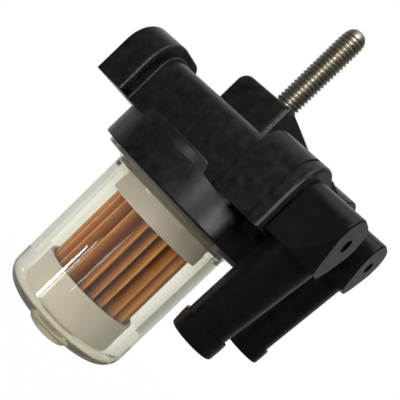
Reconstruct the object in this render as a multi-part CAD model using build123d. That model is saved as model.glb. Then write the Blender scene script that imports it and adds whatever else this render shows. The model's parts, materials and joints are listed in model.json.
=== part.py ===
# Fuel filter for a small outboard engine, hung from one M6 stud.
# The origin is where the stud leaves its flat seat. +Z runs up the stud, and the bowl hangs below.
# X runs along the two cross galleries, with the hose elbows at +X. The inlet side faces -Y.
# All sizes are in millimetres.
import os
from math import cos, hypot, pi, sin

from build123d import *

# ---------------------------------------------------------------- driving dimensions

FIT = 0.02                 # gap left around a seal that really touches

# stud
STUD_R = 3.0
STUD_LENGTH = 24.5
STUD_TIP_CHAMFER = 0.9
STUD_SHANK_R = 2.7
STUD_EMBED = 8.0
STUD_HEAD_ACROSS = 8.6
STUD_HEAD_THICK = 2.5
STUD_RELIEF = 0.4          # shallow recess in the seat around the stud
STUD_RELIEF_DEPTH = 0.6

# bowl axis, seen from the stud axis
BOWL_Y = -2.7

# softened edges of the mouldings
SOFT = 0.5

# skirt of the head
SKIRT_R = 22.5
SKIRT_TOP = -21.5
SKIRT_BOTTOM = -31.8
SHOULDER_START = -24.1
SHOULDER_DRAFT = 0.45
SHOULDER_ROUND = 0.9
SKIRT_BORE_R = 18.75
CHAMBER_ROOF = -24.0
SKIRT_RIBS = ((-100.0, 8.4), (-80.5, 2.6))   # angle round the skirt, height
SKIRT_RIB_WIDTH = 0.5
SKIRT_RIB_PROUD = 0.15

# coarse thread between skirt and bowl
THREAD_PITCH = 3.0
THREAD_TURNS = 1.0
THREAD_TOP = -28.0
BOWL_NECK_R = 18.3
RIDGE_CREST_R = 19.3
GROOVE_FLOOR_R = 19.65

# inlet gallery, the front cross tube
FRONT_Y = -15.2
FRONT_Z = -14.7
FRONT_HALF = 7.6
FRONT_TOP = -10.1
GALLERY_BOTTOM = -24.1
GALLERY_LEFT = -15.7
GALLERY_CORNER_R = 5.2
COLLAR_LENGTH = 1.0
COLLAR_PROUD = 0.45
COLLAR_ROUND = 0.6
GALLERY_BORE_R = 2.8

# sockets at the +X end of the galleries
SOCKET_LEFT = 13.0
SOCKET_RIGHT = 25.5
FRONT_SOCKET_HALF = 7.9
FRONT_SOCKET_TOP = -6.15
SOCKET_LINE_X = 22.2
SOCKET_LINE_WIDTH = 0.7
SOCKET_LINE_DEPTH = 0.35
SPIGOT_LEFT = 14.8
SPIGOT_R = 5.6
SOCKET_GAP = 0.1
SOCKET_SOFT = 0.9

# outlet gallery, the rear cross tube
REAR_Y = 8.9
REAR_Z = -12.1
REAR_LEFT = -13.0
REAR_HALF = 7.2
REAR_TOP = -6.4
REAR_SOCKET_TOP = -3.6
REAR_SOCKET_BOTTOM = -21.0
REAR_SCALE = 0.93

# stud block and gusset
BLOCK_LEFT = -10.6
BLOCK_RIGHT = 4.9
BLOCK_HALF = 6.7
BLOCK_CORNER_R = 2.6
BLOCK_SOFT = 1.4
GUSSET_RIGHT = 14.0
GUSSET_DROP = 4.25
GUSSET_FRONT = -2.7

# outlet stem that the element pushes onto
STEM_R = 4.0
STEM_BORE_R = 2.5
STEM_END = -37.4
INLET_PORT_X = -4.0

# end cap of the inlet gallery
CAP_LEFT = -26.3
CAP_RIGHT = -17.9
CAP_HALF = 8.4
CAP_FRONT_CORNER_R = 8.0
CAP_BACK_CORNER_R = 3.3
CAP_TOP = -7.1
CAP_BOTTOM = -23.9
CAP_NECK_INSET = 1.9
CAP_SOFT = 0.7
CAP_PLAY = 0.15
CAP_SPIGOT_R = 4.5
CAP_SPIGOT_END = -9.6
CAP_BORE_R = 4.6

# hose elbows, stated for the inlet; the outlet has smaller sections but an equally long neck
ELBOW_LEFT = 25.9
ELBOW_SOFT_LEFT = 0.7
ELBOW_RIGHT = 37.35
ELBOW_HALF = 6.3
INLET_RISE = 5.7
OUTLET_RISE = 5.85
ELBOW_FALL = 8.2
ELBOW_CORNER_R = 5.0
CONE_TOP = 0.4
CONE_TIP = 0.1
TAIL_ROOT_X = 31.2
INLET_TAIL_X = 29.6
OUTLET_TAIL_X = 30.3
TAIL_ROOT_R = 5.6
TAIL_NECK_R = 4.65
TAIL_NECK_LENGTH = 20.4
BEAD_R = 5.15
BEAD_LENGTH = 4.2
BEAD_LAND = 1.6
TAIL_TIP_R = 4.95
TAIL_TIP_ROUND = 0.6
DIMPLE_R = 1.5
DIMPLE_DEPTH = 3.0

# retaining clips of the elbows
CLIP_X = 23.6
CLIP_THICK = 1.5
CLIP_LEG_IN = 4.3
CLIP_LEG_OUT = 6.0
CLIP_FOOT_THICK = 1.7
CLIP_FOOT_LEFT = 22.3
CLIP_FOOT_RIGHT = 25.2

# small O-rings
RING_SECTION_R = 0.9
RING_GROOVE_WIDTH = 2.3
SPIGOT_RING_X = 17.6
CAP_RING_X = -13.0

# bowl
FLANGE_R = 20.7
FLANGE_TOP = -31.9
FLANGE_RIM = 0.8
FLANGE_THICK = 1.45
BOWL_TOP_R = 16.3
BOWL_LOW_R = 16.0
BOWL_CORNER_R = 4.0
BOWL_UNDER = -69.0
BOWL_TIP = -72.5
BOSS_R = 5.3
BOWL_IN_TOP_R = 14.0
BOWL_IN_LOW_R = 13.3
BOWL_FLOOR = -66.8
NECK_TOP = -24.6
NECK_IN_R = 14.6
LIP_R = 16.0
BOWL_RING_R = 1.2
PAD_R_OUT = 8.4
PAD_R_IN = 7.2
PAD_TOP = -66.3

# element
ELEMENT_TOP = -28.9
ELEMENT_BOTTOM = -66.2
CAP_R = 12.6
CAP_THICK = 1.4
CAP_WALL = 0.7
TOP_CAP_SKIRT = -38.95
LOW_CAP_SKIRT = -58.1
LOW_CAP_R = 12.4
BED_THICK = 0.9
PLEATS = 20
PLEAT_TIP_R = 11.55
PLEAT_ROOT_R = 7.6
PAPER_RADIAL = 1.3
CORE_R = 5.6
CORE_IN_R = 4.7
CORE_SLOT = 2.0
CORE_SLOT_ROWS = 5
GROMMET_R = 5.8
GROMMET_IN_R = 4.05
GROMMET_TOP = -28.6
GROMMET_END = -32.4

# ---------------------------------------------------------------- shape helpers


def rod_x(left, right, y, z, radius):
    """Round bar along X."""
    return Pos((left + right) / 2, y, z) * Rot(0, 90, 0) * Cylinder(radius, right - left)


def rod_y(front, back, x, z, radius):
    """Round bar along Y."""
    return Pos(x, (front + back) / 2, z) * Rot(90, 0, 0) * Cylinder(radius, back - front)


def rod_z(bottom, top, x, y, radius):
    """Round bar along Z."""
    return Pos(x, y, (bottom + top) / 2) * Cylinder(radius, top - bottom)


def block(left, right, front, back, bottom, top):
    """Box given by its six sides."""
    centre = Pos((left + right) / 2, (front + back) / 2, (bottom + top) / 2)
    return centre * Box(right - left, back - front, top - bottom)


def arch(left, right, y, half, bottom, top, corner, soft_left=0, soft_right=0, back_corner=0):
    """Bar along X with a flat bottom, straight sides, a rounded top and softened ends."""
    if corner < half:
        outline = Pos(0, (bottom + top) / 2) * Rectangle(2 * half, top - bottom)
        outline = fillet(outline.vertices().sort_by_distance((-half, top, 0))[0], corner)
        outline = fillet(outline.vertices().sort_by_distance((half, top, 0))[0],
                         back_corner or corner)
    else:
        spring = top - half
        outline = Pos(0, (bottom + spring) / 2) * Rectangle(2 * half, spring - bottom)
        outline += Pos(0, spring) * Circle(half)
    bar = extrude(Plane.YZ.offset(left) * Pos(y, 0) * outline, amount=right - left)
    if soft_left:
        bar = fillet(bar.edges().group_by(Axis.X)[0], soft_left)
    if soft_right:
        bar = fillet(bar.edges().group_by(Axis.X)[-1], soft_right)
    return bar


def turned(points, rounds=()):
    """Solid of revolution about the bowl axis; rounds holds (radius, height, fillet) of corners."""
    outline = make_face(Polyline(*points, close=True))
    for r, z, radius in rounds:
        corner = outline.vertices().sort_by_distance((r, z, 0))[0]
        outline = fillet(corner, radius)
    return Pos(0, BOWL_Y, 0) * revolve(Plane.XZ * outline, Axis.Z)


def ring_x(x, y, z, floor_r):
    """O-ring around an X axis, on a groove floor of the given radius."""
    major = floor_r + FIT + RING_SECTION_R
    return Pos(x, y, z) * Rot(0, 90, 0) * Torus(major, RING_SECTION_R)


def ring_groove(x, y, z, outer_r, floor_r):
    """Ring of material taken away for an O-ring around an X axis."""
    half = RING_GROOVE_WIDTH / 2
    return rod_x(x - half, x + half, y, z, outer_r + 1) - rod_x(x - half, x + half, y, z, floor_r)


def helical_bar(top, turns, inner_r, outer_r, inner_half, outer_half):
    """Trapezoid swept along the thread's helix, ending at the given height."""
    bottom = top - turns * THREAD_PITCH
    path = Helix(THREAD_PITCH, turns * THREAD_PITCH, inner_r)
    section = make_face(Polyline(
        (0, -inner_half),
        (outer_r - inner_r, -outer_half),
        (outer_r - inner_r, outer_half),
        (0, inner_half),
        close=True,
    ))
    start = Plane(origin=(inner_r, 0, 0), x_dir=(1, 0, 0), z_dir=(0, -1, 0))
    bar = sweep(start * section, path=path, is_frenet=True)
    # every bar lies on one common helix, whatever its length
    phase = 360 * (bottom - THREAD_TOP) / THREAD_PITCH
    return Pos(0, BOWL_Y, bottom) * Rot(0, 0, phase) * bar


def floor_radius(bore_r):
    """Groove floor under an O-ring that seals in the given bore."""
    return bore_r - 2 * RING_SECTION_R - 2 * FIT


# ---------------------------------------------------------------- head and stud


def mount_stud():
    stud = rod_z(0, STUD_LENGTH, 0, 0, STUD_R)
    stud = chamfer(stud.edges().sort_by(Axis.Z)[-1], STUD_TIP_CHAMFER)
    shank = rod_z(-STUD_EMBED, 0, 0, 0, STUD_SHANK_R)
    hexagon = extrude(RegularPolygon(STUD_HEAD_ACROSS / 2, 6, major_radius=False), STUD_HEAD_THICK)
    return stud + shank + Pos(0, 0, -STUD_EMBED) * hexagon


def clip_slots(y, z, bottom, scale):
    """The two slots that let a clip's legs up beside the spigot."""
    play = 0.1
    left = CLIP_X - CLIP_THICK / 2 - play
    right = CLIP_X + CLIP_THICK / 2 + play
    inner = CLIP_LEG_IN * scale - play
    outer = CLIP_LEG_OUT * scale + play
    top = z + 2.2
    near = block(left, right, y - outer, y - inner, bottom - 1, top)
    far = block(left, right, y + inner, y + outer, bottom - 1, top)
    return near + far


def socket_line(y, half, bottom, top, corner):
    """Shallow line around a socket, where its end band starts."""
    right = SOCKET_LINE_X + SOCKET_LINE_WIDTH
    around = block(SOCKET_LINE_X, right, y - half - 1, y + half + 1, bottom - 1, top + 1)
    cut = SOCKET_LINE_DEPTH
    core = arch(SOCKET_LINE_X, right, y, half - cut, bottom, top - cut, corner - cut)
    return around - core


def head_body():
    shoulder_r = SKIRT_R - SHOULDER_DRAFT
    skirt = turned(
        [(0, SKIRT_BOTTOM), (SKIRT_R, SKIRT_BOTTOM), (SKIRT_R, SHOULDER_START),
         (shoulder_r, SKIRT_TOP), (0, SKIRT_TOP)],
        [(SKIRT_R, SKIRT_BOTTOM, SOFT), (shoulder_r, SKIRT_TOP, SHOULDER_ROUND)],
    )

    front = arch(GALLERY_LEFT, SOCKET_LEFT + 1, FRONT_Y, FRONT_HALF, GALLERY_BOTTOM, FRONT_TOP,
                 GALLERY_CORNER_R)
    collar = arch(GALLERY_LEFT, GALLERY_LEFT + COLLAR_LENGTH, FRONT_Y, FRONT_HALF + COLLAR_PROUD,
                  GALLERY_BOTTOM, FRONT_TOP + COLLAR_PROUD, GALLERY_CORNER_R, COLLAR_ROUND,
                  COLLAR_ROUND / 2)
    front_socket = arch(SOCKET_LEFT, SOCKET_RIGHT, FRONT_Y, FRONT_SOCKET_HALF, GALLERY_BOTTOM,
                        FRONT_SOCKET_TOP, FRONT_SOCKET_HALF, SOFT, SOCKET_SOFT)
    rear = arch(REAR_LEFT, SOCKET_LEFT + 1, REAR_Y, REAR_HALF, SKIRT_TOP - 1, REAR_TOP,
                GALLERY_CORNER_R, SOFT)
    rear_half = FRONT_SOCKET_HALF * REAR_SCALE
    rear_socket = arch(SOCKET_LEFT, SOCKET_RIGHT, REAR_Y, rear_half,
                       REAR_SOCKET_BOTTOM, REAR_SOCKET_TOP, rear_half, SOFT, SOFT)

    seat = block(BLOCK_LEFT, BLOCK_RIGHT, -BLOCK_HALF, BLOCK_HALF, SKIRT_TOP - 1, 0)
    seat = fillet(seat.edges().filter_by(Axis.Y).group_by(Axis.Z)[-1].sort_by(Axis.X)[0],
                  BLOCK_CORNER_R)
    seat = fillet(seat.faces().sort_by(Axis.Y)[0].edges() + seat.faces().sort_by(Axis.Y)[-1].edges(),
                  BLOCK_SOFT)
    web = block(BLOCK_LEFT + 1, SOCKET_LEFT + 2, FRONT_Y, REAR_Y, SKIRT_TOP - 1, FRONT_TOP - 2)
    gusset_outline = make_face(Polyline(
        (BLOCK_RIGHT - 1, 0),
        (BLOCK_RIGHT, 0),
        (GUSSET_RIGHT, -GUSSET_DROP),
        (SOCKET_LINE_X, -GUSSET_DROP - 1),
        (SOCKET_LINE_X, SKIRT_TOP + 2),
        (BLOCK_RIGHT - 1, SKIRT_TOP + 2),
        close=True,
    ))
    gusset = extrude(Plane.XZ.offset(-BLOCK_HALF) * gusset_outline,
                     amount=BLOCK_HALF - GUSSET_FRONT)

    body = skirt + front + collar + front_socket + rear + rear_socket + seat + web + gusset

    for angle, height in SKIRT_RIBS:
        reach = SKIRT_R + SKIRT_RIB_PROUD
        foot = SKIRT_BOTTOM + SOFT
        rib = block(reach - 2, reach, -SKIRT_RIB_WIDTH / 2, SKIRT_RIB_WIDTH / 2, foot, foot + height)
        body += Pos(0, BOWL_Y, 0) * Rot(0, 0, angle) * rib

    body -= socket_line(FRONT_Y, FRONT_SOCKET_HALF, GALLERY_BOTTOM, FRONT_SOCKET_TOP,
                        FRONT_SOCKET_HALF)

    # filter chamber, its lead-in and the outlet stem
    body -= rod_z(SKIRT_BOTTOM - 1, CHAMBER_ROOF, 0, BOWL_Y, SKIRT_BORE_R)
    body += rod_z(STEM_END, CHAMBER_ROOF + 1, 0, BOWL_Y, STEM_R)
    body -= helical_bar(THREAD_TOP + 0.45, 2.2, SKIRT_BORE_R - 0.2, GROOVE_FLOOR_R, 1.15, 0.65)

    # inlet gallery, its two mouths and the port into the chamber
    body -= rod_x(GALLERY_LEFT - 1, SOCKET_RIGHT + 1, FRONT_Y, FRONT_Z, GALLERY_BORE_R)
    body -= rod_x(GALLERY_LEFT - 1, CAP_SPIGOT_END + 0.6, FRONT_Y, FRONT_Z, CAP_BORE_R)
    body -= rod_x(SPIGOT_LEFT - 0.3, SOCKET_RIGHT + 1, FRONT_Y, FRONT_Z, SPIGOT_R + SOCKET_GAP)
    body -= rod_z(CHAMBER_ROOF - 1, FRONT_Z, INLET_PORT_X, FRONT_Y, GALLERY_BORE_R)

    # outlet gallery, from the stem to the rear mouth
    rear_r = SPIGOT_R * REAR_SCALE + SOCKET_GAP
    body -= rod_z(STEM_END - 1, REAR_Z, 0, BOWL_Y, STEM_BORE_R)
    body -= rod_y(BOWL_Y, REAR_Y, 0, REAR_Z, STEM_BORE_R)
    body -= rod_x(-STEM_BORE_R, SOCKET_RIGHT + 1, REAR_Y, REAR_Z, STEM_BORE_R)
    body -= rod_x(SPIGOT_LEFT - 0.3, SOCKET_RIGHT + 1, REAR_Y, REAR_Z, rear_r)

    # notch in the skirt's shoulder that clears the end cap
    body -= block(CAP_LEFT, GALLERY_LEFT, FRONT_Y - CAP_HALF - 1,
                  FRONT_Y + CAP_HALF + CAP_PLAY, GALLERY_BOTTOM - CAP_PLAY, SKIRT_TOP + 1)

    body -= clip_slots(FRONT_Y, FRONT_Z, GALLERY_BOTTOM, 1.0)
    body -= clip_slots(REAR_Y, REAR_Z, REAR_SOCKET_BOTTOM, REAR_SCALE)
    body -= mount_stud()
    body -= rod_z(-STUD_RELIEF_DEPTH, 1, 0, 0, STUD_R + STUD_RELIEF)
    return body


# ---------------------------------------------------------------- inlet gallery end cap


def gallery_end_cap():
    inset = CAP_NECK_INSET
    cap = arch(CAP_LEFT, CAP_RIGHT, FRONT_Y, CAP_HALF, CAP_BOTTOM, CAP_TOP,
               CAP_FRONT_CORNER_R, SOFT, CAP_SOFT, CAP_BACK_CORNER_R)
    cap += arch(CAP_RIGHT - 1, GALLERY_LEFT, FRONT_Y, FRONT_HALF - inset, GALLERY_BOTTOM + inset,
                FRONT_TOP - inset, GALLERY_CORNER_R)
    cap += rod_x(GALLERY_LEFT - 1, CAP_SPIGOT_END, FRONT_Y, FRONT_Z, CAP_SPIGOT_R)
    return cap - ring_groove(CAP_RING_X, FRONT_Y, FRONT_Z, CAP_SPIGOT_R, floor_radius(CAP_BORE_R))


def gallery_end_cap_o_ring():
    return ring_x(CAP_RING_X, FRONT_Y, FRONT_Z, floor_radius(CAP_BORE_R))


# ---------------------------------------------------------------- elbows, rings and clips


def hose_tail(tail_x, y, z, scale):
    """Downward hose tail: a one-sided taper, then a bead with a sharp shoulder."""
    root_z = z - ELBOW_FALL * scale
    neck_z = root_z - TAIL_NECK_LENGTH
    root = Plane.XY.offset(root_z) * Pos(TAIL_ROOT_X, y) * Circle(TAIL_ROOT_R * scale)
    neck = Plane.XY.offset(neck_z) * Pos(tail_x, y) * Circle(TAIL_NECK_R * scale)
    taper = loft([root, neck])
    land_end = neck_z - BEAD_LAND * scale
    bead = rod_z(land_end, neck_z, tail_x, y, BEAD_R * scale)
    tip_end = neck_z - BEAD_LENGTH * scale
    wide = Plane.XY.offset(land_end) * Pos(tail_x, y) * Circle(BEAD_R * scale)
    narrow = Plane.XY.offset(tip_end) * Pos(tail_x, y) * Circle(TAIL_TIP_R * scale)
    tip = loft([wide, narrow])
    tip = fillet(tip.edges().filter_by(GeomType.CIRCLE).sort_by(Axis.Z)[0], TAIL_TIP_ROUND * scale)
    return taper + bead + tip


def elbow(tail_x, y, z, rise, scale):
    """Elbow that plugs into a socket along X and ends in a hose tail."""
    half = ELBOW_HALF * scale
    bottom = z - ELBOW_FALL * scale
    top = z + rise
    body = arch(ELBOW_LEFT, ELBOW_RIGHT, y, half, bottom, top, ELBOW_CORNER_R * scale)
    # a cone around the tail's root trims the two outer lower corners
    cone_top = z + CONE_TOP * scale
    corners = block(TAIL_ROOT_X, ELBOW_RIGHT + 1, y - half - 1, y + half + 1, bottom, cone_top)
    reach = ELBOW_RIGHT - TAIL_ROOT_X
    cone = Cone(reach + CONE_TIP, hypot(reach, half) + CONE_TIP, cone_top - bottom)
    body -= corners - Pos(TAIL_ROOT_X, y, (bottom + cone_top) / 2) * cone
    body = fillet(body.faces().sort_by(Axis.X)[-1].edges(), SOFT * scale)
    body = fillet(body.faces().sort_by(Axis.X)[0].edges(), ELBOW_SOFT_LEFT * scale)
    body += rod_x(SPIGOT_LEFT, ELBOW_LEFT + 1, y, z, SPIGOT_R * scale)
    body += hose_tail(tail_x, y, z, scale)

    bore_r = GALLERY_BORE_R * scale
    tail_end = bottom - TAIL_NECK_LENGTH - BEAD_LENGTH * scale
    body -= rod_x(SPIGOT_LEFT - 1, tail_x, y, z, bore_r)
    body -= rod_z(tail_end - 1, z, tail_x, y, bore_r)
    body -= Pos(tail_x, y, z) * Sphere(bore_r)
    body -= rod_x(ELBOW_RIGHT - DIMPLE_DEPTH, ELBOW_RIGHT + 1, y, z, DIMPLE_R)

    socket_r = SPIGOT_R * scale + SOCKET_GAP
    body -= ring_groove(SPIGOT_RING_X, y, z, SPIGOT_R * scale, floor_radius(socket_r))
    clip_half = CLIP_THICK / 2 + 0.1
    around = rod_x(CLIP_X - clip_half, CLIP_X + clip_half, y, z, SPIGOT_R * scale + 1)
    waist = rod_x(CLIP_X - clip_half, CLIP_X + clip_half, y, z, CLIP_LEG_IN * scale - 0.1)
    return body - (around - waist)


def elbow_o_ring(y, z, scale):
    socket_r = SPIGOT_R * scale + SOCKET_GAP
    return ring_x(SPIGOT_RING_X, y, z, floor_radius(socket_r))


def elbow_clip(y, z, bottom, scale):
    """U-shaped clip pushed up from below, with a flat foot under the socket."""
    left = CLIP_X - CLIP_THICK / 2
    right = CLIP_X + CLIP_THICK / 2
    inner = CLIP_LEG_IN * scale
    outer = CLIP_LEG_OUT * scale
    under = bottom - 0.1
    clip = block(CLIP_FOOT_LEFT, CLIP_FOOT_RIGHT, y - outer, y + outer, under - CLIP_FOOT_THICK,
                 under)
    clip = fillet(clip.edges().filter_by(Axis.Z), 0.6)
    for side in (-1, 1):
        low, high = sorted((y + side * inner, y + side * outer))
        clip += block(left, right, low, high, under - 0.5, z + 2.0)
    return clip


# ---------------------------------------------------------------- bowl


def filter_bowl():
    outline = [
        (0, BOWL_TIP),
        (BOSS_R, BOWL_TIP),
        (BOSS_R + 0.4, BOWL_UNDER),
        (BOWL_LOW_R, BOWL_UNDER),
        (BOWL_TOP_R, FLANGE_TOP - 3.5),
        (BOWL_TOP_R, FLANGE_TOP - FLANGE_THICK),
        (FLANGE_R, FLANGE_TOP - FLANGE_RIM),
        (FLANGE_R, FLANGE_TOP),
        (BOWL_NECK_R, FLANGE_TOP),
        (BOWL_NECK_R, CHAMBER_ROOF - 2.5),
        (LIP_R, CHAMBER_ROOF - 2.5),
        (LIP_R, NECK_TOP),
        (NECK_IN_R, NECK_TOP),
        (NECK_IN_R, FLANGE_TOP),
        (BOWL_IN_TOP_R, FLANGE_TOP - 3.5),
        (BOWL_IN_LOW_R, BOWL_FLOOR),
        (PAD_R_OUT, BOWL_FLOOR),
        (PAD_R_OUT, PAD_TOP),
        (PAD_R_IN, PAD_TOP),
        (PAD_R_IN, BOWL_FLOOR),
        (PAD_R_IN / 2, BOWL_FLOOR - 1.0),
        (0, BOWL_FLOOR - 1.0),
    ]
    rounds = [
        (BOSS_R, BOWL_TIP, 0.6),
        (BOWL_LOW_R, BOWL_UNDER, BOWL_CORNER_R),
        (BOWL_TOP_R, FLANGE_TOP - FLANGE_THICK, 1.2),
        (BOWL_IN_LOW_R, BOWL_FLOOR, 1.6),
    ]
    bowl = turned(outline, rounds)
    return bowl + helical_bar(THREAD_TOP, THREAD_TURNS, BOWL_NECK_R - 0.2, RIDGE_CREST_R, 0.85, 0.4)


def bowl_o_ring():
    height = CHAMBER_ROOF - 2.5 + BOWL_RING_R + FIT
    return Pos(0, BOWL_Y, height) * Torus(LIP_R + BOWL_RING_R + 2 * FIT, BOWL_RING_R)


# ---------------------------------------------------------------- element


def element_top_cap():
    skin = CAP_R - CAP_WALL
    return turned([
        (GROMMET_R, ELEMENT_TOP),
        (CAP_R, ELEMENT_TOP),
        (CAP_R, TOP_CAP_SKIRT),
        (skin, TOP_CAP_SKIRT),
        (skin, ELEMENT_TOP - CAP_THICK),
        (GROMMET_R, ELEMENT_TOP - CAP_THICK),
    ], [(CAP_R, ELEMENT_TOP, 1.2)])


def element_bottom_cap():
    skin = LOW_CAP_R - CAP_WALL
    return turned([
        (0, ELEMENT_BOTTOM),
        (LOW_CAP_R, ELEMENT_BOTTOM),
        (LOW_CAP_R, LOW_CAP_SKIRT),
        (skin, LOW_CAP_SKIRT),
        (skin, ELEMENT_BOTTOM + CAP_THICK),
        (0, ELEMENT_BOTTOM + CAP_THICK),
    ], [(LOW_CAP_R, ELEMENT_BOTTOM, 1.2)])


def element_bed(bottom, outer_r):
    """Disc of adhesive that seals the paper to a cap."""
    bed = rod_z(bottom, bottom + BED_THICK, 0, BOWL_Y, outer_r)
    return bed - rod_z(bottom - 1, bottom + BED_THICK + 1, 0, BOWL_Y, GROMMET_R)


def pleat_outline(shrink):
    """Zigzag ring of the paper, drawn in by the given radial amount."""
    points = []
    for index in range(2 * PLEATS):
        radius = (PLEAT_TIP_R if index % 2 == 0 else PLEAT_ROOT_R) - shrink
        angle = pi * index / PLEATS
        points.append((radius * cos(angle), radius * sin(angle)))
    return make_face(Polyline(*points, close=True))


PAPER_TOP = ELEMENT_TOP - CAP_THICK - BED_THICK
PAPER_BOTTOM = ELEMENT_BOTTOM + CAP_THICK + BED_THICK


def element_pleats():
    ring = pleat_outline(0) - pleat_outline(PAPER_RADIAL)
    return Pos(0, BOWL_Y, PAPER_BOTTOM) * extrude(ring, PAPER_TOP - PAPER_BOTTOM)


def element_core_tube():
    tube = rod_z(PAPER_BOTTOM, GROMMET_END - 0.1, 0, BOWL_Y, CORE_R)
    tube -= rod_z(PAPER_BOTTOM - 1, GROMMET_END, 0, BOWL_Y, CORE_IN_R)
    span = GROMMET_END - PAPER_BOTTOM
    for row in range(CORE_SLOT_ROWS):
        height = PAPER_BOTTOM + span * (row + 0.5) / CORE_SLOT_ROWS
        for angle in (0, 45, 90, 135):
            slot = Box(3 * CORE_R, CORE_SLOT, span / CORE_SLOT_ROWS * 0.6)
            tube -= Pos(0, BOWL_Y, height) * Rot(0, 0, angle) * slot
    return tube


def element_grommet():
    ring = rod_z(GROMMET_END, GROMMET_TOP, 0, BOWL_Y, GROMMET_R)
    return ring - rod_z(GROMMET_END - 1, GROMMET_TOP + 1, 0, BOWL_Y, GROMMET_IN_R)


# ---------------------------------------------------------------- write every piece

PIECES = {
    "head_body": head_body(),
    "mount_stud": mount_stud(),
    "gallery_end_cap": gallery_end_cap(),
    "gallery_end_cap_o_ring": gallery_end_cap_o_ring(),
    "inlet_elbow": elbow(INLET_TAIL_X, FRONT_Y, FRONT_Z, INLET_RISE, 1.0),
    "inlet_elbow_o_ring": elbow_o_ring(FRONT_Y, FRONT_Z, 1.0),
    "inlet_elbow_clip": elbow_clip(FRONT_Y, FRONT_Z, GALLERY_BOTTOM, 1.0),
    "outlet_elbow": elbow(OUTLET_TAIL_X, REAR_Y, REAR_Z, OUTLET_RISE, REAR_SCALE),
    "outlet_elbow_o_ring": elbow_o_ring(REAR_Y, REAR_Z, REAR_SCALE),
    "outlet_elbow_clip": elbow_clip(REAR_Y, REAR_Z, REAR_SOCKET_BOTTOM, REAR_SCALE),
    "filter_bowl": filter_bowl(),
    "bowl_o_ring": bowl_o_ring(),
    "element_top_cap": element_top_cap(),
    "element_top_bed": element_bed(PAPER_TOP, CAP_R - CAP_WALL),
    "element_pleats": element_pleats(),
    "element_core_tube": element_core_tube(),
    "element_bottom_bed": element_bed(PAPER_BOTTOM - BED_THICK, LOW_CAP_R - CAP_WALL),
    "element_bottom_cap": element_bottom_cap(),
    "element_grommet": element_grommet(),
}

os.makedirs("parts", exist_ok=True)
for node, shape in PIECES.items():
    export_step(shape, f"parts/{node}.step")
    print(f"{node:24s} solids {len(shape.solids())}  volume {shape.volume:9.1f}")
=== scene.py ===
import json
import math
import random

import bmesh
import bpy
from mathutils import Matrix, Vector, noise


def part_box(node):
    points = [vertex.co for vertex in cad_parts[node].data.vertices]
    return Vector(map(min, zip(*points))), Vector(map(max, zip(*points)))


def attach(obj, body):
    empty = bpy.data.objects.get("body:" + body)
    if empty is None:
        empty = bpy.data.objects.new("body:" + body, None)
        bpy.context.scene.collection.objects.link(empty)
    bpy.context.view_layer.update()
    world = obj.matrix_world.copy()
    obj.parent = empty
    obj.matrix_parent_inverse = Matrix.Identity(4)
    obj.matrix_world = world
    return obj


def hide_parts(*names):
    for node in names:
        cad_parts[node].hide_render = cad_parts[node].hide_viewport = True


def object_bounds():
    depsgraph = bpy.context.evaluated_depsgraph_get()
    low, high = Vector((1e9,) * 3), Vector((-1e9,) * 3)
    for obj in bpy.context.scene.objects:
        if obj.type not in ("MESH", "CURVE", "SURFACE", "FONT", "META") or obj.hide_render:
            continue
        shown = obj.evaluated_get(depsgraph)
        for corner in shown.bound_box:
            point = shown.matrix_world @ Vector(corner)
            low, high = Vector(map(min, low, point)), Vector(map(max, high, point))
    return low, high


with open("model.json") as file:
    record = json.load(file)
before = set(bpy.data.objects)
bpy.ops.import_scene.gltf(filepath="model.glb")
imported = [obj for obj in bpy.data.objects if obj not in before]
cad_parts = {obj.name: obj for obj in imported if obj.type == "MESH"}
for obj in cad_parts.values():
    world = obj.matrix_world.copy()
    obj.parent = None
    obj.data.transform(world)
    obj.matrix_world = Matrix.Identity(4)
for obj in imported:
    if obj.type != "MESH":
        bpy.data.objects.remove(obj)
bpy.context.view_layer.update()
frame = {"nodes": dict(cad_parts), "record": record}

MM = 0.001
MERGE_DISTANCE = 1e-6
random.seed(7)

# ---------------------------------------------------------------- places from the frame

BOWL_LOW, BOWL_HIGH = (Vector(corner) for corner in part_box("filter_bowl"))
AXIS = (BOWL_LOW + BOWL_HIGH) / 2                      # a point on the bowl's axis
STUD_LOW, STUD_HIGH = (Vector(corner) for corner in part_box("mount_stud"))
SKIRT_LEVEL = BOWL_HIGH.z - 3.8 * MM                   # the camera's height, and what the lights aim at
PAPER_LOW, PAPER_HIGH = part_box("element_pleats")
PLEAT_TIP_R = (PAPER_HIGH.x - PAPER_LOW.x) / 2
CAP_LOW, CAP_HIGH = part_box("element_bottom_cap")
GLUE_LEVEL = CAP_HIGH.z
FILM_TOP = CAP_LOW.z + 2.0 * MM                        # where the residue on the bowl's floor starts
FLANGE_LEVEL = BOWL_HIGH.z - 9.0 * MM                  # underside of the bowl's flange
STUD_TIP = STUD_HIGH.z

# ---------------------------------------------------------------- sizes of the new pieces

STUD_R = 3.0 * MM
THREAD_PITCH = 1.0 * MM
THREAD_DEPTH = 0.56 * MM
THREAD_ROOT_R = STUD_R - THREAD_DEPTH
THREAD_START = -0.6 * MM                               # floor of the relief in the seat
SHANK_R = 2.7 * MM
HEXAGON_ACROSS = 8.6 * MM
HEXAGON_THICK = 2.5 * MM
TIP_SHRINK = 0.46                                      # share of the radius lost at the very tip
TIP_ROUND = 1.1 * MM                                   # distance down the stud over which that fades

PLEATS = 24
PLEAT_STEPS = 14                                       # points round each pleat
PLEAT_ROWS = 9                                         # points up each fold
PLEAT_ROOT_R = 7.6 * MM
PAPER_RADIAL = 0.8 * MM                                # radial thickness on the steep flanks
FOLD_SHARPNESS = 0.97                                  # 1 is a knife-edge fold
LEAN_SHARE = 0.6                                       # share of its lean that a pleat's tip takes
DRIFT = 0.012                                          # most that a fold wanders sideways, radians


# ---------------------------------------------------------------- node helpers


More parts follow.
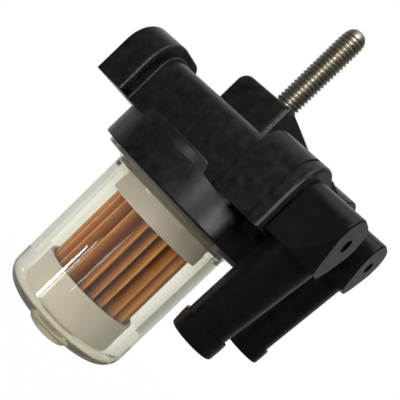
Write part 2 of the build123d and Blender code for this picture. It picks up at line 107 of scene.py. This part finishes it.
class Shader:
    """A small wrapper that adds nodes to one material and links them."""

    def __init__(self, name):
        self.material = bpy.data.materials.new(name)
        self.material.use_nodes = True
        self.tree = self.material.node_tree
        self.tree.nodes.clear()
        self.output = self.add("ShaderNodeOutputMaterial")
        self.coords = self.add("ShaderNodeTexCoord").outputs["Object"]

    def add(self, kind, **settings):
        node = self.tree.nodes.new(kind)
        for key, value in settings.items():
            setattr(node, key, value)
        return node

    def link(self, source, target):
        self.tree.links.new(source, target)

    def noise(self, scale, detail=4.0, roughness=0.5, stretch=(1, 1, 1), distortion=0.0):
        mapping = self.add("ShaderNodeMapping")
        mapping.inputs["Scale"].default_value = stretch
        self.link(self.coords, mapping.inputs["Vector"])
        node = self.add("ShaderNodeTexNoise")
        node.inputs["Scale"].default_value = scale
        node.inputs["Detail"].default_value = detail
        node.inputs["Roughness"].default_value = roughness
        node.inputs["Distortion"].default_value = distortion
        self.link(mapping.outputs["Vector"], node.inputs["Vector"])
        return node.outputs["Fac"]

    def ramp(self, value, stops):
        node = self.add("ShaderNodeValToRGB")
        elements = node.color_ramp.elements
        while len(elements) < len(stops):
            elements.new(0.5)
        for element, (place, colour) in zip(elements, stops):
            element.position = place
            element.color = (*colour, 1) if len(colour) == 3 else colour
        self.link(value, node.inputs["Fac"])
        return node.outputs["Color"]

    def span(self, value, low, high, out_low, out_high):
        node = self.add("ShaderNodeMapRange")
        limits = (("From Min", low), ("From Max", high), ("To Min", out_low), ("To Max", out_high))
        for key, number in limits:
            node.inputs[key].default_value = number
        self.link(value, node.inputs["Value"])
        return node.outputs["Result"]

    def math(self, operation, first, second):
        node = self.add("ShaderNodeMath", operation=operation)
        for socket, value in zip(node.inputs, (first, second)):
            if isinstance(value, (int, float)):
                socket.default_value = value
            else:
                self.link(value, socket)
        return node.outputs[0]

    def place(self):
        """X, Y and Z of the point shaded, in the piece's own frame, which is the shared one at rest."""
        node = self.add("ShaderNodeSeparateXYZ")
        self.link(self.coords, node.inputs[0])
        return node.outputs["X"], node.outputs["Y"], node.outputs["Z"]

    def distance(self, x, y):
        squares = self.math("ADD", self.math("MULTIPLY", x, x), self.math("MULTIPLY", y, y))
        return self.math("SQRT", squares, 0)

    def mix(self, factor, first, second):
        node = self.add("ShaderNodeMix", data_type="RGBA")
        sockets = (node.inputs[0], node.inputs[6], node.inputs[7])
        for socket, value in zip(sockets, (factor, first, second)):
            if isinstance(value, tuple):
                socket.default_value = (*value, 1)
            elif isinstance(value, (int, float)):
                socket.default_value = value
            else:
                self.link(value, socket)
        return node.outputs[2]

    def bump(self, height, distance, strength=1.0, normal=None):
        node = self.add("ShaderNodeBump")
        node.inputs["Strength"].default_value = strength
        node.inputs["Distance"].default_value = distance
        self.link(height, node.inputs["Height"])
        if normal is not None:
            self.link(normal, node.inputs["Normal"])
        return node.outputs["Normal"]

    def principled(self, **values):
        node = self.add("ShaderNodeBsdfPrincipled")
        for key, value in values.items():
            socket = node.inputs[key.replace("_", " ")]
            if isinstance(value, bpy.types.NodeSocket):
                self.link(value, socket)
            else:
                socket.default_value = value
        self.link(node.outputs["BSDF"], self.output.inputs["Surface"])
        return node


def multiply(tree, first, second):
    node = tree.nodes.new("ShaderNodeMath")
    node.operation = "MULTIPLY"
    for socket, value in zip(node.inputs, (first, second)):
        if isinstance(value, float):
            socket.default_value = value
        else:
            tree.links.new(value, socket)
    return node.outputs[0]


def blend_values(tree, factor, first, second):
    node = tree.nodes.new("ShaderNodeMix")
    sockets = (node.inputs[0], node.inputs[2], node.inputs[3])
    for socket, value in zip(sockets, (factor, first, second)):
        if isinstance(value, float):
            socket.default_value = value
        else:
            tree.links.new(value, socket)
    return node.outputs[0]


def surroundings(tree, outside, inside):
    """Brightness of the white surroundings: 1 where they are seen directly or through the bowl,
    outside where they light the outside of the object, inside where they light it through the bowl."""
    path = tree.nodes.new("ShaderNodeLightPath")
    bounced = tree.nodes.new("ShaderNodeMath")
    bounced.operation = "ADD"
    bounced.use_clamp = True
    tree.links.new(path.outputs["Diffuse Depth"], bounced.inputs[0])
    tree.links.new(path.outputs["Glossy Depth"], bounced.inputs[1])
    through = tree.nodes.new("ShaderNodeMath")
    through.operation = "MINIMUM"
    through.inputs[1].default_value = 1.0
    tree.links.new(path.outputs["Transmission Depth"], through.inputs[0])
    light = blend_values(tree, through.outputs[0], outside, inside)
    return blend_values(tree, bounced.outputs[0], 1.0, light)


# ---------------------------------------------------------------- materials


def black_plastic():
    """Satin moulded nylon: fine grain, faint flow mottling, a few pale scuffs and a little dust."""
    s = Shader("moulded_black")
    mottle = s.noise(480, 6, 0.66)
    grain = s.noise(2600, 3, 0.6)
    scratch = s.noise(420, 2, 0.5, stretch=(1, 0.12, 0.35), distortion=1.0)
    scuff = s.span(scratch, 0.64, 0.72, 0.0, 1.0)
    patch = s.span(s.noise(75, 3, 0.5), 0.58, 0.70, 0.0, 1.0)
    worn = s.math("MULTIPLY", scuff, patch)
    dust = s.span(s.noise(3200, 2, 0.5), 0.70, 0.78, 0.0, 1.0)
    base = s.ramp(mottle, [(0.30, (0.0035, 0.0038, 0.0040)), (0.52, (0.0095, 0.0100, 0.0093)),
                           (0.72, (0.0190, 0.0195, 0.0170))])
    colour = s.mix(s.math("MULTIPLY", worn, 0.25), base, (0.045, 0.046, 0.044))
    colour = s.mix(s.math("MULTIPLY", dust, 0.20), colour, (0.10, 0.10, 0.095))
    roughness = s.math("ADD", s.span(mottle, 0.3, 0.7, 0.28, 0.40), s.math("MULTIPLY", worn, 0.12))
    normal = s.bump(grain, 0.00004, 0.30)
    normal = s.bump(mottle, 0.00012, 0.30, normal)
    s.principled(Base_Color=colour, Roughness=roughness, Normal=normal, Specular_IOR_Level=0.3)
    return s.material


def stainless():
    """Rolled stainless thread: warm grey with fine streaks round the stud, darker and rougher towards
    the thread roots.
    """
    s = Shader("rolled_stainless")
    streak = s.noise(900, 3, 0.6, stretch=(0.3, 0.3, 3.0))
    blotch = s.noise(260, 3, 0.6)
    steel = s.ramp(streak, [(0.3, (0.46, 0.42, 0.34)), (0.7, (0.62, 0.57, 0.47))])
    x, y, _ = s.place()
    # darker and rougher towards the thread roots, in blotches
    root = s.span(s.distance(x, y), THREAD_ROOT_R + 0.05 * MM, THREAD_ROOT_R + 0.35 * MM, 0.55, 0.0)
    root_darkening = s.math("MULTIPLY", root, s.span(blotch, 0.3, 0.6, 0.6, 1.0))
    colour = s.mix(root_darkening, steel, (0.07, 0.062, 0.05))
    roughness = s.math("ADD", s.span(streak, 0.3, 0.7, 0.24, 0.34), s.math("MULTIPLY", root_darkening, 0.3))
    normal = s.bump(streak, 0.00002, 0.5)
    s.principled(Base_Color=colour, Metallic=1.0, Roughness=roughness, Normal=normal)
    return s.material


def clear_plastic():
    """Clear moulded bowl: warm body tint, fine handling marks, a faint uneven haze, a cream film
    of residue on its floor, painted shade towards its neck and darker painted shade from the flange up."""
    s = Shader("clear_bowl")
    wave = s.noise(70, 2, 0.5, stretch=(1, 1, 0.3))
    marks = s.span(s.noise(1400, 2, 0.5, stretch=(1, 1, 0.08)), 0.66, 0.8, 0.0, 1.0)
    _, _, z = s.place()
    ragged = s.math("ADD", z, s.span(s.noise(160, 4, 0.6), 0.2, 0.8, -1.2 * MM, 1.2 * MM))
    haze = s.span(s.noise(110, 4, 0.6, stretch=(1, 1, 0.5)), 0.35, 0.70, 0.0, 0.012)
    residue = s.math("MAXIMUM", s.span(ragged, FILM_TOP, BOWL_LOW.z + 3.0 * MM, 0.0, 0.26), haze)
    # painted shade: the bowl darkens over the last 8 mm below the flange, where the skirt shades the
    # neck
    neck_shade = s.span(z, FLANGE_LEVEL - 8.0 * MM, FLANGE_LEVEL, 0.0, 0.32)
    # painted shade: from the flange's underside up, the bowl turns darker and less clear under the
    # skirt's shadow
    rim = s.span(z, FLANGE_LEVEL - 0.2 * MM, FLANGE_LEVEL, 0.0, 0.55)
    roughness = s.math("ADD", s.math("MULTIPLY", marks, 0.06), 0.012)
    roughness = s.math("ADD", roughness, s.math("MULTIPLY", residue, 0.2))
    colour = s.ramp(wave, [(0.3, (0.975, 0.972, 0.955)), (0.7, (0.985, 0.983, 0.97))])
    # painted shade towards the neck, then darker painted shade from the flange's underside up
    colour = s.mix(neck_shade, colour, (0.50, 0.45, 0.30))
    colour = s.mix(rim, colour, (0.20, 0.18, 0.11))
    colour = s.mix(s.math("MULTIPLY", residue, 2.0), colour, (0.80, 0.73, 0.46))
    normal = s.bump(wave, 0.0004, 0.009)
    s.principled(Base_Color=colour, Roughness=roughness, Normal=normal, IOR=1.5,
                 Transmission_Weight=s.math("SUBTRACT", 1.0, s.math("MAXIMUM", residue, rim)))
    tint = s.add("ShaderNodeVolumeAbsorption")
    tint.inputs["Color"].default_value = (0.88, 0.86, 0.66, 1)
    tint.inputs["Density"].default_value = 100.0
    s.link(tint.outputs["Volume"], s.output.inputs["Volume"])
    return s.material


def white_plastic():
    """Milky moulded cap, slightly translucent."""
    s = Shader("milky_white")
    cloud = s.noise(120, 4, 0.5)
    grain = s.noise(2200, 2, 0.5)
    colour = s.ramp(cloud, [(0.3, (0.72, 0.665, 0.580)), (0.7, (0.80, 0.735, 0.645))])
    roughness = s.span(cloud, 0.3, 0.7, 0.35, 0.48)
    normal = s.bump(grain, 0.00003, 0.4)
    s.principled(Base_Color=colour, Roughness=roughness, Normal=normal, Subsurface_Weight=0.2,
                 Subsurface_Radius=(0.002, 0.002, 0.002), Subsurface_Scale=1.0)
    return s.material


def filter_paper():
    """Resin-soaked filter paper: golden fibres, darker stains down the folds, painted shade on the
    pleat flanks and darker painted shade deep in the valleys, pale glue at the foot.
    """
    s = Shader("pleated_paper")
    fibre = s.noise(1800, 4, 0.65, stretch=(1, 1, 0.35))
    stain = s.noise(210, 3, 0.55, stretch=(1, 1, 0.12))
    fibres = s.ramp(fibre, [(0.3, (0.78, 0.34, 0.095)), (0.7, (0.98, 0.52, 0.19))])
    x, y, z = s.place()
    across = s.distance(x, s.math("SUBTRACT", y, AXIS.y))
    # painted shade: the paper darkens from the pleat tips inwards down the flanks, and darker still
    # deep in the valleys, where the folds shade each other
    flank_shade = s.span(across, PLEAT_TIP_R - 0.3 * MM, PLEAT_TIP_R - 0.9 * MM, 0.0, 0.8)
    valley_shade = s.span(across, PLEAT_TIP_R - 1.0 * MM, PLEAT_TIP_R - 2.6 * MM, 0.0, 0.8)
    colour = s.mix(flank_shade, fibres, (0.60, 0.215, 0.050))
    colour = s.mix(valley_shade, colour, (0.24, 0.060, 0.012))
    colour = s.mix(s.span(stain, 0.48, 0.68, 0.0, 0.5), colour, (0.26, 0.075, 0.020))
    creep = s.span(s.noise(420, 2, 0.5, stretch=(1, 1, 0.4)), 0.35, 0.65, 0.0, 1.3 * MM)
    foot = s.math("SUBTRACT", s.math("ADD", creep, GLUE_LEVEL), z)
    colour = s.mix(s.span(foot, -0.1 * MM, 0.25 * MM, 0.0, 0.35), colour, (0.42, 0.37, 0.30))
    roughness = s.span(fibre, 0.3, 0.7, 0.7, 0.9)
    normal = s.bump(fibre, 0.00008, 0.6)
    s.principled(Base_Color=colour, Roughness=roughness, Normal=normal, Specular_IOR_Level=0.1)
    return s.material


def adhesive():
    """Cast adhesive bead, cream and slightly uneven."""
    s = Shader("cast_adhesive")
    cloud = s.noise(400, 3, 0.5)
    colour = s.ramp(cloud, [(0.3, (0.55, 0.48, 0.34)), (0.7, (0.70, 0.63, 0.48))])
    s.principled(Base_Color=colour, Roughness=s.span(cloud, 0.3, 0.7, 0.3, 0.5),
                 Normal=s.bump(cloud, 0.0001, 0.5))
    return s.material


def seal_rubber():
    """Black nitrile with a faint bloom."""
    s = Shader("nitrile")
    bloom = s.noise(300, 4, 0.6)
    colour = s.ramp(bloom, [(0.35, (0.012, 0.012, 0.012)), (0.8, (0.03, 0.03, 0.032))])
    s.principled(Base_Color=colour, Roughness=s.span(bloom, 0.3, 0.7, 0.5, 0.7),
                 Normal=s.bump(s.noise(1500, 3), 0.00003, 0.4))
    return s.material


MATERIALS = {
    "black_plastic": black_plastic(),
    "stainless": stainless(),
    "clear_plastic": clear_plastic(),
    "white_plastic": white_plastic(),
    "filter_paper": filter_paper(),
    "adhesive": adhesive(),
    "seal_rubber": seal_rubber(),
}


def dress_cad_nodes():
    """Gives every CAD node the material of its record slot."""
    for entry in frame["record"]["subparts"]:
        piece = frame["nodes"][entry["node"]]
        for slot in piece.material_slots:
            slot.material = MATERIALS[entry["material_slot"]]


# ---------------------------------------------------------------- mesh helpers


def new_piece(name, vertices, faces, slot, body):
    """A smooth-shaded mesh piece that rides on a body."""
    mesh = bpy.data.meshes.new(name)
    mesh.from_pydata(vertices, [], faces)
    mesh.validate()
    mesh.polygons.foreach_set("use_smooth", [True] * len(mesh.polygons))
    mesh.materials.append(MATERIALS[slot])
    piece = bpy.data.objects.new(name, mesh)
    bpy.context.scene.collection.objects.link(piece)
    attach(piece, body)
    return piece


def merge_points(mesh):
    """Joins the points that lie on top of each other, such as those at the centre of an end."""
    work = bmesh.new()
    work.from_mesh(mesh)
    bmesh.ops.remove_doubles(work, verts=work.verts, dist=MERGE_DISTANCE)
    bmesh.ops.recalc_face_normals(work, faces=work.faces)
    work.to_mesh(mesh)
    work.free()


# ---------------------------------------------------------------- stud


def thread_radius(phase):
    """Rolled thread with a full, rounded crest. phase runs from 0 to 1 over one pitch."""
    rise = (0.5 + 0.5 * math.cos(2 * math.pi * phase)) ** 0.75
    return THREAD_ROOT_R + (STUD_R - THREAD_ROOT_R) * rise


def stud_tip_radius(z):
    """Rounded end of the stud."""
    return STUD_R * (1 - TIP_SHRINK * math.exp(-(STUD_TIP - z) / TIP_ROUND))


def grid_faces(rows, columns):
    """Faces of a grid of points whose rows each close on themselves."""
    faces = []
    for row in range(rows - 1):
        for column in range(columns):
            after = (column + 1) % columns
            faces.append((row * columns + column, row * columns + after,
                          (row + 1) * columns + after, (row + 1) * columns + column))
    return faces


def make_stud():
    """The threaded stud, with the plain shank and hexagon that are moulded into the head."""
    columns, steps = 64, 12                              # points round, and rows to one pitch
    rows = int((STUD_TIP - THREAD_START) / THREAD_PITCH * steps)
    hexagon_top = STUD_LOW.z + HEXAGON_THICK
    half_flats = HEXAGON_ACROSS / 2
    # height, radius and whether the ring is a hexagon, from the buried end up
    rings = ((STUD_LOW.z, 0, True), (STUD_LOW.z, half_flats, True), (hexagon_top, half_flats, True),
             (hexagon_top, SHANK_R, False), (THREAD_START, SHANK_R, False),
             (THREAD_START, THREAD_ROOT_R, False))
    vertices = []
    for z, radius, is_hexagon in rings:
        for column in range(columns):
            angle = 2 * math.pi * column / columns
            reach = radius
            if is_hexagon:
                turn = (angle + math.pi / 6) % (math.pi / 3) - math.pi / 6
                reach = radius / math.cos(turn)
            vertices.append((reach * math.cos(angle), reach * math.sin(angle), z))
    for row in range(rows + 1):
        z = THREAD_START + (STUD_TIP - THREAD_START) * row / rows
        for column in range(columns):
            angle = 2 * math.pi * column / columns
            phase = (z / THREAD_PITCH - column / columns) % 1.0
            radius = min(thread_radius(phase), stud_tip_radius(z))
            vertices.append((radius * math.cos(angle), radius * math.sin(angle), z))
    vertices += [(0, 0, STUD_TIP)] * columns
    faces = grid_faces(len(vertices) // columns, columns)
    piece = new_piece("stud_thread", vertices, faces, "stainless", "head")
    merge_points(piece.data)
    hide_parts("mount_stud")


# ---------------------------------------------------------------- pleated paper


def pleat_loop():
    """Angle and radius of every point round the paper. Pleats differ in width, lean and depth."""
    widths = [random.uniform(0.72, 1.28) for _ in range(PLEATS)]
    leans = [random.uniform(-0.35, 0.80) for _ in range(PLEATS)]
    depths = [random.uniform(0.0, 0.5) * MM for _ in range(PLEATS)]
    whole = sum(widths)
    loop = []
    turn = 0.3                                           # where the first pleat starts, radians
    for width, lean, depth in zip(widths, leans, depths):
        span = 2 * math.pi * width / whole
        for step in range(PLEAT_STEPS):
            t = step / PLEAT_STEPS
            wave = -math.cos(2 * math.pi * t)
            fold = math.asin(FOLD_SHARPNESS * wave) / math.asin(FOLD_SHARPNESS)
            height = 0.5 + 0.5 * fold                    # 0 at the root of the fold, 1 at its tip
            skew = lean * span * height * LEAN_SHARE
            radius = PLEAT_ROOT_R + (PLEAT_TIP_R - depth - PLEAT_ROOT_R) * height
            loop.append((turn + span * t + skew, radius))
        turn += span
    return loop


def make_pleats():
    """The pleated paper, a closed ring with an outer and an inner face."""
    loop = pleat_loop()
    rows = PLEAT_ROWS
    count = len(loop)
    vertices = []
    for shrink in (0.0, PAPER_RADIAL):
        for row in range(rows):
            share = row / (rows - 1)
            z = PAPER_LOW.z + (PAPER_HIGH.z - PAPER_LOW.z) * share
            for angle, radius in loop:
                spot = Vector((3 * math.cos(angle), 3 * math.sin(angle), 2.5 * share))
                bent = angle + DRIFT * noise.noise(spot)
                reach = radius - shrink
                vertices.append((AXIS.x + reach * math.cos(bent), AXIS.y + reach * math.sin(bent), z))
    outer = grid_faces(rows, count)
    inner = [tuple(rows * count + corner for corner in reversed(face)) for face in outer]
    faces = outer + inner
    for index in range(count):
        after = (index + 1) % count
        low_in, top = rows * count, (rows - 1) * count
        faces.append((index, low_in + index, low_in + after, after))
        faces.append((top + index, top + after, low_in + top + after, low_in + top + index))
    piece = new_piece("pleated_paper", vertices, faces, "filter_paper", "element")
    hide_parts("element_pleats")


# ---------------------------------------------------------------- camera, floor and light


VIEW_TURN = math.radians(27.0)         # round from the front, towards the elbows
VIEW_PITCH = math.radians(0.21)
VIEW_ROLL = math.radians(46.0)
VIEW_DISTANCE = 150 * MM
VIEW_SIDE = 3.0 * MM                   # the aim passes this far to the right of the bowl's axis
CAMERA_LENS = 60.3                     # mm, on the sensor below
CAMERA_SENSOR = 36

FLOOR_DROP = 90 * MM
FLOOR_RADIUS = 0.45
FLOOR_GLOW = 0.995                     # share of emission in the floor's shader
FLOOR_LIGHT = 0.10                     # brightness of the floor as a light on the outside
ROOM_LIGHT = 0.12                      # the same for the room in front of the object
SWEEP_LIGHT = 0.85                     # the same for the white sweep behind it
BOWL_LIGHT = 0.78                      # brightness of it all as a light through the clear bowl
DIM_SIDE = 0.45                        # share of that light left on the elbows' side
DIM_EDGE = 0.35                        # share of the sweep left at its other end
BEHIND = (-math.sin(VIEW_TURN), math.cos(VIEW_TURN), 0)
ASIDE = (math.cos(VIEW_TURN), math.sin(VIEW_TURN), 0)


def make_camera():
    right, ahead = Vector(ASIDE), Vector(BEHIND)
    level = Vector((AXIS.x, AXIS.y, SKIRT_LEVEL))
    place = level + right * VIEW_SIDE - ahead * VIEW_DISTANCE
    forward = (ahead * math.cos(VIEW_PITCH) + Vector((0, 0, math.sin(VIEW_PITCH)))).normalized()
    level_up = right.cross(forward).normalized()
    up = level_up * math.cos(VIEW_ROLL) - right * math.sin(VIEW_ROLL)
    side = forward.cross(up).normalized()
    data = bpy.data.cameras.new("camera")
    data.lens = CAMERA_LENS
    data.sensor_width = CAMERA_SENSOR
    data.clip_start = 0.005
    data.clip_end = 20
    camera = bpy.data.objects.new("camera", data)
    camera.matrix_world = Matrix((
        (side.x, up.x, -forward.x, place.x),
        (side.y, up.y, -forward.y, place.y),
        (side.z, up.z, -forward.z, place.z),
        (0, 0, 0, 1),
    ))
    bpy.context.scene.collection.objects.link(camera)
    bpy.context.scene.camera = camera


def make_floor():
    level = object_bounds()[0][2] - FLOOR_DROP
    mesh = bpy.data.meshes.new("floor")
    corners = 96
    turns = [2 * math.pi * corner / corners for corner in range(corners)]
    rim = [(FLOOR_RADIUS * math.cos(turn), FLOOR_RADIUS * math.sin(turn), level) for turn in turns]
    mesh.from_pydata(rim, [], [tuple(range(corners))])
    s = Shader("floor_paper")
    tone = s.ramp(s.noise(40, 3), [(0.3, (0.93, 0.93, 0.93)), (0.7, (0.96, 0.96, 0.96))])
    diffuse = s.principled(Base_Color=tone, Roughness=0.9)
    glow = s.add("ShaderNodeEmission")
    s.link(surroundings(s.tree, FLOOR_LIGHT, BOWL_LIGHT), glow.inputs["Strength"])
    blend = s.add("ShaderNodeMixShader")
    blend.inputs[0].default_value = FLOOR_GLOW
    s.link(diffuse.outputs[0], blend.inputs[1])
    s.link(glow.outputs[0], blend.inputs[2])
    s.link(blend.outputs[0], s.output.inputs["Surface"])
    mesh.materials.append(s.material)
    floor = bpy.data.objects.new("floor", mesh)
    bpy.context.scene.collection.objects.link(floor)


def facing(tree, direction, low, high, at_low, at_high):
    """Smooth step from at_low to at_high as the way looked turns towards a direction."""
    coords = tree.nodes.new("ShaderNodeTexCoord")
    product = tree.nodes.new("ShaderNodeVectorMath")
    product.operation = "DOT_PRODUCT"
    product.inputs[1].default_value = direction
    tree.links.new(coords.outputs["Generated"], product.inputs[0])
    step = tree.nodes.new("ShaderNodeMapRange")
    step.interpolation_type = "SMOOTHSTEP"
    for key, number in (("From Min", low), ("From Max", high), ("To Min", at_low), ("To Max", at_high)):
        step.inputs[key].default_value = number
    tree.links.new(product.outputs["Value"], step.inputs["Value"])
    return step.outputs["Result"]


def make_world():
    """A white sweep behind the object and a dim room in front of it."""
    world = bpy.data.worlds.new("studio")
    bpy.context.scene.world = world
    world.use_nodes = True
    tree = world.node_tree
    background = tree.nodes["Background"]
    side = facing(tree, ASIDE, 0.0, 0.6, 1.0, DIM_SIDE)
    sweep = facing(tree, BEHIND, 0.15, 0.8, ROOM_LIGHT, SWEEP_LIGHT)
    edge = facing(tree, ASIDE, -0.8, -0.3, DIM_EDGE, 1.0)
    outside = multiply(tree, side, multiply(tree, sweep, edge))
    inside = multiply(tree, side, BOWL_LIGHT)
    tree.links.new(surroundings(tree, outside, inside), background.inputs["Strength"])
    background.inputs["Color"].default_value = (1, 1, 1, 1)


def linked_pieces(name, pieces):
    """A collection for light linking. The pieces stay in the scene's own collection too."""
    collection = bpy.data.collections.new(name)
    for piece in pieces:
        collection.objects.link(bpy.data.objects[piece])
    return collection


def area_light(name, turn, rise, distance, width, height, power, shape="RECTANGLE",
               only=(), shaded_by=()):
    """A light aimed at the middle of the skirt. turn is in degrees from the front towards +X, and
    rise is its elevation. Where given, only names the pieces that it lights, and shaded_by those
    that cast its shadows. Otherwise it lights every piece, and every piece shades it."""
    centre = Vector((AXIS.x, AXIS.y, SKIRT_LEVEL))
    a, e = math.radians(turn), math.radians(rise)
    way = Vector((math.sin(a) * math.cos(e), -math.cos(a) * math.cos(e), math.sin(e)))
    data = bpy.data.lights.new(name, "AREA")
    data.shape = shape
    data.size = width
    data.size_y = height
    data.energy = power
    light = bpy.data.objects.new(name, data)
    light.location = centre + way * distance
    light.rotation_euler = way.to_track_quat("Z", "Y").to_euler()
    bpy.context.scene.collection.objects.link(light)
    if only:
        light.light_linking.receiver_collection = linked_pieces(name + "_on", only)
    if shaded_by:
        light.light_linking.blocker_collection = linked_pieces(name + "_off", shaded_by)


def make_lights():
    bowl = ["filter_bowl"]
    head = ["head_body", "gallery_end_cap"]
    element = ["pleated_paper", "element_top_cap", "element_bottom_cap"]
    elbows = ["inlet_elbow", "outlet_elbow"]
    area_light("bowl_streak", -19, -23, 0.20, 0.014, 0.052, 0.060, "ELLIPSE", bowl)
    area_light("bowl_streak_thin", 12, -17, 0.20, 0.004, 0.034, 0.0035, "ELLIPSE", bowl)
    area_light("element_key", 8, 2, 0.40, 0.12, 0.12, 0.34, only=element, shaded_by=element + head)
    area_light("skirt_glow", 35, 9, 0.35, 0.03, 0.03, 0.32, only=head)
    area_light("shoulder_glow", -3, 21, 0.35, 0.04, 0.02, 0.11, only=head)
    area_light("block_edge", 68, 12, 0.50, 0.08, 0.40, 1.7, only=head)
    area_light("stud_key", 23, 35, 0.40, 0.045, 0.25, 0.9, only=["stud_thread"])
    area_light("elbow_fill", -27, 8, 0.50, 0.30, 0.30, 0.07, only=elbows)
    area_light("left_strip", -88, 5, 0.50, 0.12, 0.50, 0.12)
    area_light("front_key", 23, 57, 0.50, 0.12, 0.20, 0.50)
    area_light("overhead", 20, 80, 0.60, 0.40, 0.40, 0.8)


# ---------------------------------------------------------------- build

bpy.context.scene.view_settings.view_transform = "Standard"

make_camera()
make_world()
make_floor()
dress_cad_nodes()
make_stud()
make_pleats()
make_lights()
